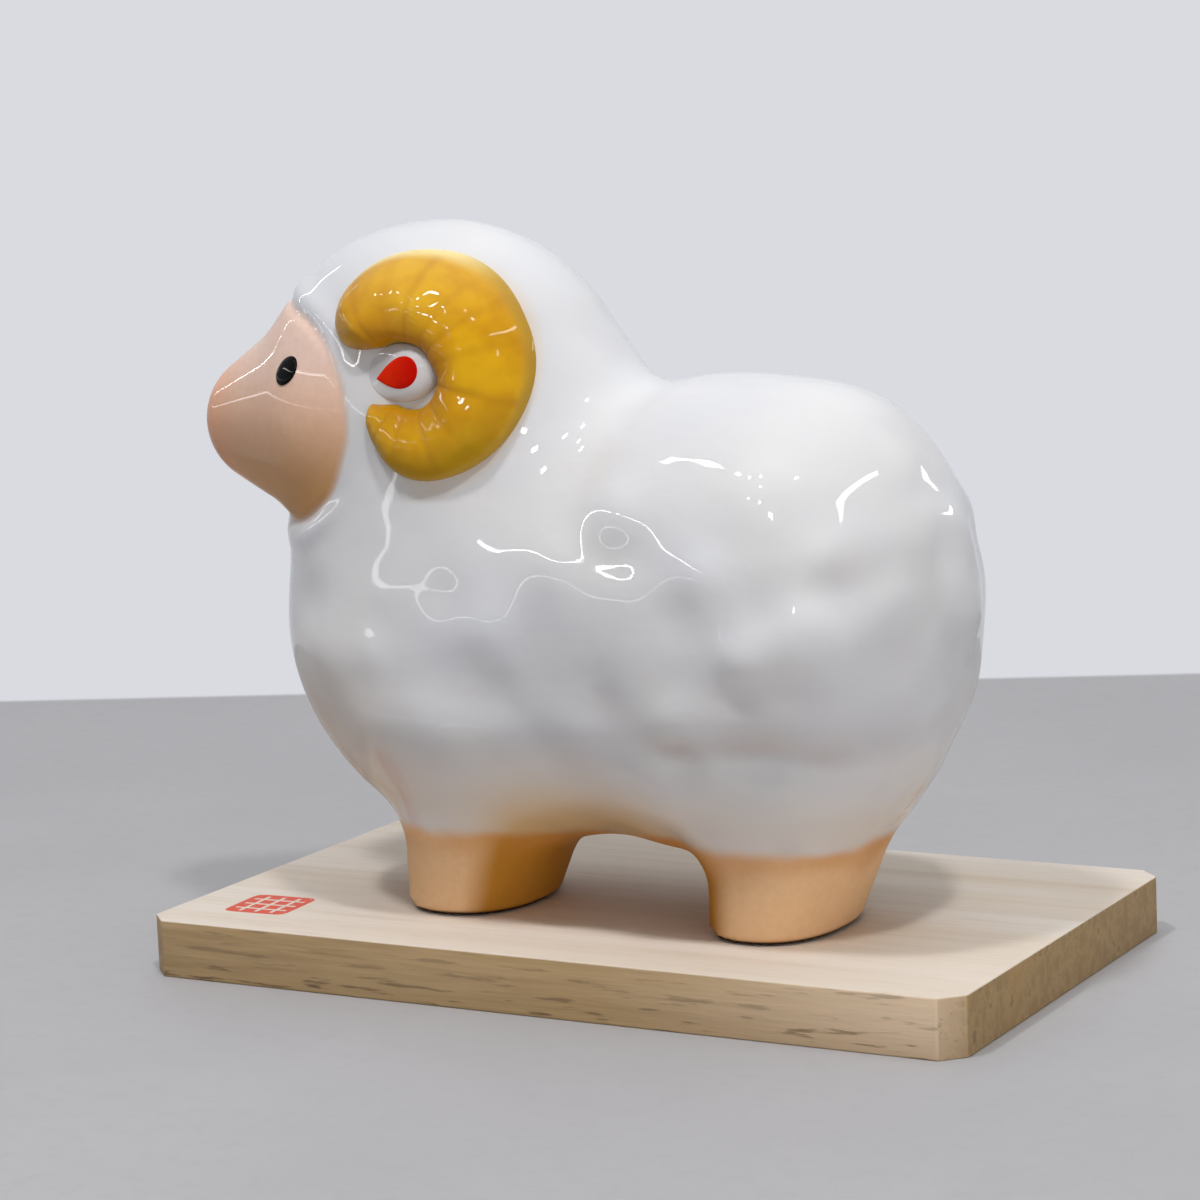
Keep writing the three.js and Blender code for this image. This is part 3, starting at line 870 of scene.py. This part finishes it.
class RamColours(bpy.types.PropertyGroup):
    """Colours of the glazes and the wood, with their painted light and shade, and of the floor.
    """
    white: colour("White", "White glaze", (234, 233, 233))
    white_cool: colour("Cool white", "Cooler clouds in the white glaze", (228, 229, 233))
    # Painted shade, partly pooled glaze, in the hollows, under the tufts and on the ears
    white_pooled_and_shaded: colour("Deep white", "White glaze where it lies thick", (200, 193, 192))
    # Painted warm shade and bounce light on the white low on the body
    warm_shade: colour("Ochre haze", "Haze on the white between the legs", (211, 179, 134))
    peach: colour("Peach", "Glaze of the face", (254, 211, 187))
    # Painted sheen on the upper face
    peach_sheen: colour("Peach above", "Glaze of the brow", (236, 209, 197))
    # Browner glaze under the jaw, darkened further with painted shade; also the colour of the
    # face's random specks
    peach_under_shade: colour("Peach below", "Glaze under the jaw", (204, 150, 84))
    peach_nose: colour("Peach nose", "Glaze of the nose", (244, 168, 128))
    peach_foot: colour("Peach foot", "Glaze of the feet", (255, 214, 170))
    # Painted shade on the feet where they face each other
    peach_shade: colour("Shaded peach", "Glaze between the feet", (192, 132, 48))
    peach_edge: colour("Peach edge", "Line where the peach glaze ends", (212, 146, 84))
    # Painted contact shadow under the feet
    contact_shadow: colour("Base line", "Bare clay under the feet", (70, 48, 34))
    yellow: colour("Yellow", "Glaze of the horns", (231, 174, 3))
    yellow_deep: colour("Deep yellow", "Clouds in the yellow glaze", (210, 147, 2))
    # Glaze pooled in the grooves, and painted shade on the horns' inner side
    amber_pooled_and_shaded: colour("Amber", "Yellow glaze in the grooves", (176, 108, 3))
    # Thin glaze at the horns' edges, and painted shade on their lower outer side
    olive_thin_and_shaded: colour("Olive", "Yellow glaze thinning at the edges", (168, 130, 6))
    # Thin pale glaze, and painted light on the horns' crown and upper rim
    cream_thin_and_lit: colour("Cream", "Yellow glaze fading into white", (252, 230, 160))
    red: colour("Red", "Glaze of the drops", (240, 44, 10))
    red_deep: colour("Deep red", "Clouds in the red glaze", (196, 6, 5))
    black: colour("Black", "Glaze of the eyes", (5, 5, 6))
    black_soft: colour("Soft black", "Clouds in the black glaze", (12, 12, 13))
    wood: colour("Wood", "Planed top of the board", (236, 225, 213))
    wood_streak: colour("Wood streak", "Darker growth streaks", (226, 211, 193))
    wood_grain: colour("Wood grain", "Fine grain of the top", (212, 193, 170))
    wood_side: colour("Wood side", "Sawn sides", (195, 165, 122))
    # Painted light on the right half of the board's sides
    wood_side_lit: colour("Light wood", "Paler right half of the sides", (250, 224, 194))
    wood_dark: colour("Dark wood", "Darker fibres of the sides", (160, 131, 90))
    wood_ochre: colour("Ochre wood", "Yellower patches of the sides", (178, 144, 92))
    wood_end: colour("End grain", "Lighter spots of the end grain", (174, 146, 102))
    wood_fleck: colour("Wood fleck", "Dark flecks near the underside", (92, 70, 54))
    seal: colour("Seal", "Stamped square on the board", (222, 70, 42))
    floor: colour("Floor", "Table top under the board", (182, 181, 183))
    backdrop: colour("Backdrop", "Plain backdrop", (217, 219, 225))


class RAM_OT_casting(bpy.types.Operator):
    """Model the body, face, feet and tail as pieces of one glazed casting"""
    bl_idname = "ram.casting"
    bl_label = "Casting"

    def execute(self, context):
        sizes, colours = context.scene.ram_sizes, context.scene.ram_colours
        skin = ram_skin(sizes.wool_depth / MM, sizes.skin_voxel / MM)
        paint = casting_paint(colours)
        pieces = (
            ("body", "body_shell", "white_glaze", 'DIFFERENCE',
             (face_tool(), tail_tool(), low_tool(True), low_tool(False), vent_tool())),
            ("face", "face", "peach_glaze", 'INTERSECT', (face_tool(),)),
            ("front_foot", "front_foot", "peach_glaze", 'INTERSECT', (low_tool(True),)),
            ("rear_foot", "rear_foot", "peach_glaze", 'INTERSECT', (low_tool(False),)),
            ("tail", "tail", "white_glaze", 'INTERSECT', (tail_tool(),)))
        for name, node, slot, operation, tools in pieces:
            mesh = cut(skin, operation, tools)
            if not mesh.polygons:
                raise RuntimeError(f"{name} has no faces")
            p = points_of(mesh)
            for word in NOTES:
                note(mesh, word, getattr(self, word)(p))
            finish(mesh, f"ram_{name}", paint, "figurine", [node],
                   normals=relief_normals(p, sizes.wool_depth / MM))
        return {'FINISHED'}

    def peach(self, p):
        """How much of the peach glaze covers each corner."""
        x, _, z = p.T
        face = 1 - ramp(face_distance(p) + 0.02 * grain(p, 5.0, 1.3), 0.955, 1.055)
        line = self.foot_line(p)
        return np.maximum(face * (1 - ramp(x, -24, -20)), 1 - ramp(z, line - 1.0, line + 1.4))

    def foot_line(self, p):
        """Height at which the feet's glaze ends."""
        return FOOT_LINE + 0.7 * grain(p, 5.0, 1.3) + 1.1 * grain(p, 10.0, 2.1)

    def foot_top(self, p):
        """Browner band along the top of the feet."""
        above = p[:, 2] - self.foot_line(p) + 0.7
        reach = np.where(above > 0, 1.3, 2.2 + 0.8 * grain(p, 6.0, 5.2))
        return 0.75 * np.exp(-(above / reach) ** 2) * (0.65 + 0.5 * grain(p, 8.0, 4.2))

    def haze(self, p):
        """Yellow spray on the white round the horns."""
        dx, dz = p[:, 0] - CURL_X, p[:, 2] - CURL_Z
        radius = np.hypot(dx, dz)
        ring = ramp(radius, 8, 12) * (1 - ramp(radius, 16, 18))
        return 0.6 * ring * ramp(dx, -3, 6) * ramp(np.abs(outward(p)[:, 1]), 0.35, 0.7)

    def hollow(self, p):
        """Painted shade in the hollows between the tufts and under the tufts low on the flanks,
        partly glaze pooled there, with faint darker spots off the flanks.
        """
        flank, low = on_flank(p, outward(p)), 1 - ramp(p[:, 2], 28, 36)
        rise = np.array((0, 0, 1.0))
        under = ramp(tufts(p + rise) - tufts(p - rise), -0.2, 0.9) * low
        pooled = np.maximum(0.25 - 0.7 * tufts(p), 0) * (1 - low) + under
        return np.clip(flank * pooled + 0.4 * (1 - flank) * ramp(-grain(p, 7.6), 0, 0.5), 0, 1)

    def warm_shade(self, p):
        """Painted warm shade, with the board's warm bounce light, under the belly, at the low
        front and on the legs where they face each other.
        """
        x, _, z = p.T
        n = outward(p)
        belly = (1 - ramp(z, 15, 29)) * (0.3 + 0.7 * ramp(-n[:, 2], 0.2, 0.85))
        between = ramp(x, -24, -6) * (1 - ramp(x, 8, 22))
        legs = ramp(n[:, 0] * np.sign(BETWEEN_FEET - x), 0.15, 0.8) * (1 - ramp(z, 14, 26))
        front = (1 - ramp(x, -50, -14)) * (1 - ramp(z, 23, 47)) * ramp(z, 14, 19)
        return np.clip(belly * (0.4 + 0.6 * between) + 0.8 * front + 0.9 * legs, 0, 1)


def between_stations(angle, stations, values):
    """Smooth curve through values kept every 30 degrees."""
    at = np.clip((stations[0] - angle) / 30, 0, len(stations) - 1.001)
    i = at.astype(int)
    t = at - i
    v = np.array([2 * values[0] - values[1], *values, 2 * values[-1] - values[-2]])
    a, b, c, d = v[i], v[i + 1], v[i + 2], v[i + 3]
    return b + 0.5 * t * (c - a + t * (2 * a - 5 * b + 4 * c - d + t * (3 * (b - c) + d - a)))


class RAM_OT_horns(bpy.types.Operator):
    """Model the two horns, each a soft grooved roll laid round the ear"""
    bl_idname = "ram.horns"
    bl_label = "Horns"

    def execute(self, context):
        paint = horn_paint(context.scene.ram_colours)
        for name, side in SIDES:
            mesh = self.horn(context.scene.ram_sizes, side)
            finish(mesh, f"ram_horn_{name}", paint, "figurine",
                   [f"horn_{name}"], crease=80)
        return {'FINISHED'}

    def horn(self, sizes, side):
        """A ball drawn out along the curl, with the numbers that its glaze reads."""
        bm = bmesh.new()
        bmesh.ops.create_uvsphere(bm, u_segments=120, v_segments=200, radius=1)
        mesh = mesh_of(bm, "horn")
        p = points_of(mesh)
        share = (1 - p[:, 2]) / 2
        ring = np.arctan2(p[:, 1], p[:, 0])
        across, up = np.cos(ring), np.sin(ring)
        angle = HORN_START + (HORN_END - HORN_START) * share
        ends = self.cap(share, 0.085) * self.cap(1 - share, 0.06)
        half = between_stations(angle, HORN_ANGLES, HORN_HALF) * ends
        full = np.sign(across) * np.abs(across) ** 0.92
        radius = between_stations(angle, HORN_ANGLES, HORN_MIDDLE) + half * full
        x = CURL_X + radius * np.cos(angle * DEGREE)
        z = CURL_Z + radius * np.sin(angle * DEGREE)
        thick = sizes.horn_rise / MM * (0.35 + 0.65 * np.minimum(half / 5.5, 1)) * ends
        thick *= 1 - 0.22 * ramp(-angle, 20, 80)
        flat = np.stack((x, np.zeros_like(x), z), axis=1)
        dent = HORN_DENT * grain(flat, HORN_DENT_SIZE, 5.0) * ramp(up, 0.2, 0.7) * ends
        height = dent + np.where(up > 0, thick * np.abs(up), -HORN_SUNK * np.abs(up))
        groove = self.grooves(angle + 2.2 * full) * ramp(up, 0.1, 0.55)
        lay_on(mesh, side, x, z, height - sizes.groove_depth / MM * groove * ends)
        note(mesh, "groove", groove)
        # Painted shade on the horn's inner side
        note(mesh, "inner_shade", ramp(-full, 0.1, 0.95))
        # Painted shade on the lower arm's outer side and at the root end; the outermost edges
        # are thin glaze
        shaded = ramp(-angle, 0, 50) * ramp(full, -0.1, 0.8) + 0.6 * ramp(angle, 122, 156)
        note(mesh, "edge", np.maximum(ramp(np.abs(full), 0.86, 1.0), shaded))
        # Painted light along the upward-facing outer rim, where the glaze also thins
        upper = ramp(angle, 50, 85) * (1 - ramp(angle, 122, 142))
        note(mesh, "rim", ramp(full, 0.8, 1.0) * (0.08 + 0.92 * upper))
        return mesh

    def cap(self, share, length):
        return np.sqrt(np.maximum(1 - (1 - np.minimum(share / length, 1)) ** 2, 0))

    def grooves(self, angle):
        return sum(deep * np.exp(-((angle - a) / (4.4 - 1.8 * deep)) ** 2)
                   for a, deep in HORN_GROOVES)


class RAM_OT_ears(bpy.types.Operator):
    """Model the two ears with their painted drops"""
    bl_idname = "ram.ears"
    bl_label = "Ears"

    def execute(self, context):
        sizes, colours = context.scene.ram_sizes, context.scene.ram_colours
        white = casting_paint(colours)
        red = drop_paint(colours)
        for name, side in SIDES:
            finish(self.ear(sizes, side), f"ram_ear_{name}", white, "figurine",
                   [f"ear_{name}"], crease=80)
            finish(self.drop(sizes, side), f"ram_ear_mark_{name}", red, "figurine",
                   [f"ear_mark_{name}"], crease=60)
        return {'FINISHED'}

    def dome(self, sizes, x, z):
        """Height of the ear above the head."""
        a, b = sizes.ear_length / MM / 2, sizes.ear_height / MM / 2
        near = np.hypot((x - EAR_X) / a, (z - EAR_Z) / b)
        melted = 0.04 + 0.96 * ramp(x, EAR_X - 5.2, EAR_X + 3)
        return sizes.ear_rise / MM * np.maximum(1 - near ** 3.2, 0) ** 0.5 * melted

    def ear(self, sizes, side):
        mesh = round_mesh("ear", 96, 48)
        p = points_of(mesh)
        x = EAR_X + p[:, 0] * sizes.ear_length / MM / 2
        z = EAR_Z + p[:, 2] * sizes.ear_height / MM / 2
        height = np.where(p[:, 1] > 0, self.dome(sizes, x, z), -EAR_SUNK * np.abs(p[:, 1]))
        lay_on(mesh, side, x, z, height)
        for word in NOTES:
            # The ears' white is darkened, a painted shade under the horns
            note(mesh, word, np.full(len(p), EAR_SHADE if word == "hollow" else 0.0))
        return mesh

    def drop(self, sizes, side):
        """A thin raised drop with its point towards the nose."""
        mesh = round_mesh("drop", 96, 32)
        p = points_of(mesh)
        long, wide = sizes.drop_length / MM / 2, sizes.drop_width / MM / 2
        turn = np.arctan2(p[:, 2], p[:, 0])
        spread = np.hypot(p[:, 0], p[:, 2])
        taper = np.sin(np.abs(turn) / 2) ** 1.7
        u = np.cos(turn) * long * spread
        w = np.sin(turn) * wide * 1.28 * (1 - taper) ** 0.45 * spread
        x = DROP_X + u * math.cos(DROP_TURN) + w * math.sin(DROP_TURN)
        z = DROP_Z - u * math.sin(DROP_TURN) + w * math.cos(DROP_TURN)
        height = self.dome(sizes, x, z) + np.where(
            p[:, 1] > 0, DROP_RISE * np.maximum(1 - spread ** 4, 0) ** 0.5,
            -DROP_SUNK * np.abs(p[:, 1]))
        lay_on(mesh, side, x, z, height)
        return mesh


class RAM_OT_eyes(bpy.types.Operator):
    """Model the two eyes, low glossy domes"""
    bl_idname = "ram.eyes"
    bl_label = "Eyes"

    def execute(self, context):
        sizes = context.scene.ram_sizes
        paint = eye_paint(context.scene.ram_colours)
        for name, side in SIDES:
            mesh = round_mesh("eye", 72, 36)
            p = points_of(mesh)
            x = EYE_X + (p[:, 0] + EYE_LEAN * p[:, 2]) * sizes.eye_length / MM / 2
            z = EYE_Z + p[:, 2] * sizes.eye_height / MM / 2
            spread = np.minimum(np.hypot(p[:, 0], p[:, 2]), 1)
            height = np.where(p[:, 1] > 0, EYE_RISE * np.maximum(1 - spread ** 3, 0) ** 0.5,
                              -EYE_SUNK * np.abs(p[:, 1]))
            lay_on(mesh, side, x, z, height)
            finish(mesh, f"ram_eye_{name}", paint, "figurine",
                   [f"eye_{name}"], crease=80)
        return {'FINISHED'}


class RAM_OT_board(bpy.types.Operator):
    """Model the wooden board with cut corners and eased edges"""
    bl_idname = "ram.board"
    bl_label = "Board"

    def execute(self, context):
        sizes, colours = context.scene.ram_sizes, context.scene.ram_colours
        size = BOARD_HIGH - BOARD_LOW
        middle = (BOARD_HIGH + BOARD_LOW) / 2
        bm = bmesh.new()
        bmesh.ops.create_cube(bm, size=1, matrix=Matrix.Translation(middle) @ Matrix.Diagonal(
            (size.x, size.y, size.z, 1)))
        upright = [e for e in bm.edges if abs(e.verts[0].co.z - e.verts[1].co.z) > size.z / 2]
        self.bevel(bm, upright, sizes.board_corner, 1)
        self.bevel(bm, list(bm.edges), sizes.board_edge, 3)
        bmesh.ops.recalc_face_normals(bm, faces=bm.faces)
        mesh = mesh_of(bm, "board")
        mesh.transform(TO_FRAME.inverted())
        finish(mesh, "ram_board", wood_paint(colours), "board",
               ["board"], crease=30)
        return {'FINISHED'}

    def bevel(self, bm, edges, width, segments):
        bmesh.ops.bevel(bm, geom=edges, offset=width, offset_type='OFFSET', segments=segments,
                        profile=0.5, affect='EDGES', material=-1)


class RAM_OT_stage(bpy.types.Operator):
    """Set the floor, the backdrop, the lamps and the camera"""
    bl_idname = "ram.stage"
    bl_label = "Stage"

    def execute(self, context):
        scene = context.scene
        scene.view_settings.view_transform = 'Standard'
        self.floor(scene.ram_colours)
        self.backdrop(scene.ram_colours)
        self.lamps()
        self.camera(scene)
        return {'FINISHED'}

    def floor(self, colours):
        """A pale table top. Past its far edge the floor shows the backdrop's plain colour."""
        bm = bmesh.new()
        bmesh.ops.create_grid(bm, x_segments=1, y_segments=1, size=FLOOR_REACH)
        mesh = mesh_of(bm, "floor")
        paint = Paint("floor")
        turned = paint.node("ShaderNodeMapping", values={
            "Vector": paint.place, "Rotation": (0, 0, TABLE_TURN - VIEW_AZIMUTH)})
        x, y, _ = paint.axes(turned)
        beyond = x.absolute().larger(y.absolute()).between(TABLE_HALF, TABLE_HALF + 0.004)
        to_eye = paint.node("ShaderNodeNewGeometry", output="Incoming")
        nearness = paint.node("ShaderNodeVectorMath", {"operation": 'DOT_PRODUCT'},
                              {0: paint.place, 1: to_eye}, output="Value")
        beyond = beyond * nearness.between(0.0, -0.01)
        cloud = paint.noise(9.0, 4.0, 0.6)
        speck = paint.noise(260.0, 3.0, 0.7)
        tint = colours.floor
        tone = paint.mix(cloud.between(0.3, 0.7), tint, tuple(0.93 * c for c in tint))
        tone = paint.mix(speck.between(0.45, 0.75) * 0.25, tone, tuple(0.8 * c for c in tint))
        paint.surface(Base_Color=tone, Roughness=0.6)
        backdrop = paint.node("ShaderNodeEmission", values={
            "Color": colours.backdrop, "Strength": 1.0})
        mixed = paint.node("ShaderNodeMixShader", values={
            0: beyond * paint.seen(), 1: Value(paint, paint.shader.outputs[0]), 2: backdrop})
        paint.join(paint.tree.nodes["Material Output"].inputs["Surface"], mixed)
        mesh.materials.append(paint.material)
        held(mesh)

    def backdrop(self, colours):
        """Soft light from above for the object, and a plain pale colour to look at."""
        world = bpy.data.worlds.new("studio")
        world.use_nodes = True
        maker = Nodes(world.node_tree)
        way = maker.node("ShaderNodeTexCoord", output="Generated")
        up = maker.node("ShaderNodeSeparateXYZ", values={0: way}, output=2)
        level = maker.node("ShaderNodeMapRange", values={
            "Value": up, "From Min": 0.0, "From Max": 0.9, "To Min": 0.02, "To Max": 0.285})
        above = maker.node("ShaderNodeMapRange", values={
            "Value": up, "From Min": -0.3, "From Max": 0.6})
        tint = maker.mix(above, (1.0, 0.86, 0.72), (0.94, 0.97, 1.0))
        light = maker.node("ShaderNodeBackground", values={"Color": tint, "Strength": level})
        plain = maker.node("ShaderNodeBackground", values={"Color": colours.backdrop})
        picked = maker.node("ShaderNodeMixShader", values={0: maker.seen(), 1: light, 2: plain})
        maker.join(world.node_tree.nodes["World Output"].inputs["Surface"], picked)
        bpy.context.scene.world = world

    def lamps(self):
        for lamp in LAMPS:
            self.lamp(*lamp).visible_glossy = False
        for strip in STRIPS:
            self.lamp(*strip, PLAIN).visible_diffuse = False
        for place in SPOTS:
            spot = self.lamp("spot", place, SPOT_SIZE, SPOT_SIZE, SPOT_POWER, PLAIN)
            spot.visible_diffuse = False

    def lamp(self, name, place, width, height, power, tint):
        data = bpy.data.lights.new(name, 'AREA')
        data.shape = 'RECTANGLE'
        data.size, data.size_y = width, height
        data.energy = power
        data.color = tint
        lamp = held(data)
        lamp.location = place
        lamp.visible_camera = False
        aim = LAMP_AIM - Vector(place)
        lamp.rotation_euler = aim.to_track_quat('-Z', 'Y').to_euler()
        return lamp

    def camera(self, scene):
        azimuth, tilt, roll = VIEW_AZIMUTH, VIEW_TILT, VIEW_ROLL
        back = Vector((math.sin(azimuth) * math.cos(tilt), -math.cos(azimuth) * math.cos(tilt),
                       math.sin(tilt)))
        level = Vector((math.cos(azimuth), math.sin(azimuth), 0))
        upright = level.cross(-back)
        right = math.cos(roll) * level + math.sin(roll) * upright
        up = math.cos(roll) * upright - math.sin(roll) * level
        data = bpy.data.cameras.new("camera")
        data.lens, data.sensor_width = LENS, SENSOR
        camera = held(data)
        turn = Matrix((right, up, back)).transposed()
        camera.matrix_world = Matrix.Translation(CAMERA_PLACE) @ turn.to_4x4()
        scene.camera = camera


STEPS = (RAM_OT_stage, RAM_OT_board, RAM_OT_casting, RAM_OT_horns, RAM_OT_ears, RAM_OT_eyes)


class RAM_PT_panel(bpy.types.Panel):
    """Lists the steps that build the ram"""
    bl_idname = "RAM_PT_panel"
    bl_label = "Painted ram"
    bl_space_type = 'VIEW_3D'
    bl_region_type = 'UI'
    bl_category = "Ram"

    def draw(self, context):
        for step in STEPS:
            self.layout.operator(step.bl_idname)
        for group in (context.scene.ram_sizes, context.scene.ram_colours):
            for name in group.__annotations__:
                self.layout.prop(group, name)


CLASSES = (RamSizes, RamColours, *STEPS, RAM_PT_panel)


def register():
    for item in CLASSES:
        bpy.utils.register_class(item)
    bpy.types.Scene.ram_sizes = bpy.props.PointerProperty(type=RamSizes)
    bpy.types.Scene.ram_colours = bpy.props.PointerProperty(type=RamColours)


def unregister():
    del bpy.types.Scene.ram_sizes
    del bpy.types.Scene.ram_colours
    for item in reversed(CLASSES):
        bpy.utils.unregister_class(item)


def main():
    register()
    bpy.ops.ram.stage()
    bpy.ops.ram.board()
    bpy.ops.ram.casting()
    bpy.ops.ram.horns()
    bpy.ops.ram.ears()
    bpy.ops.ram.eyes()


if __name__ == "__main__":
    main()
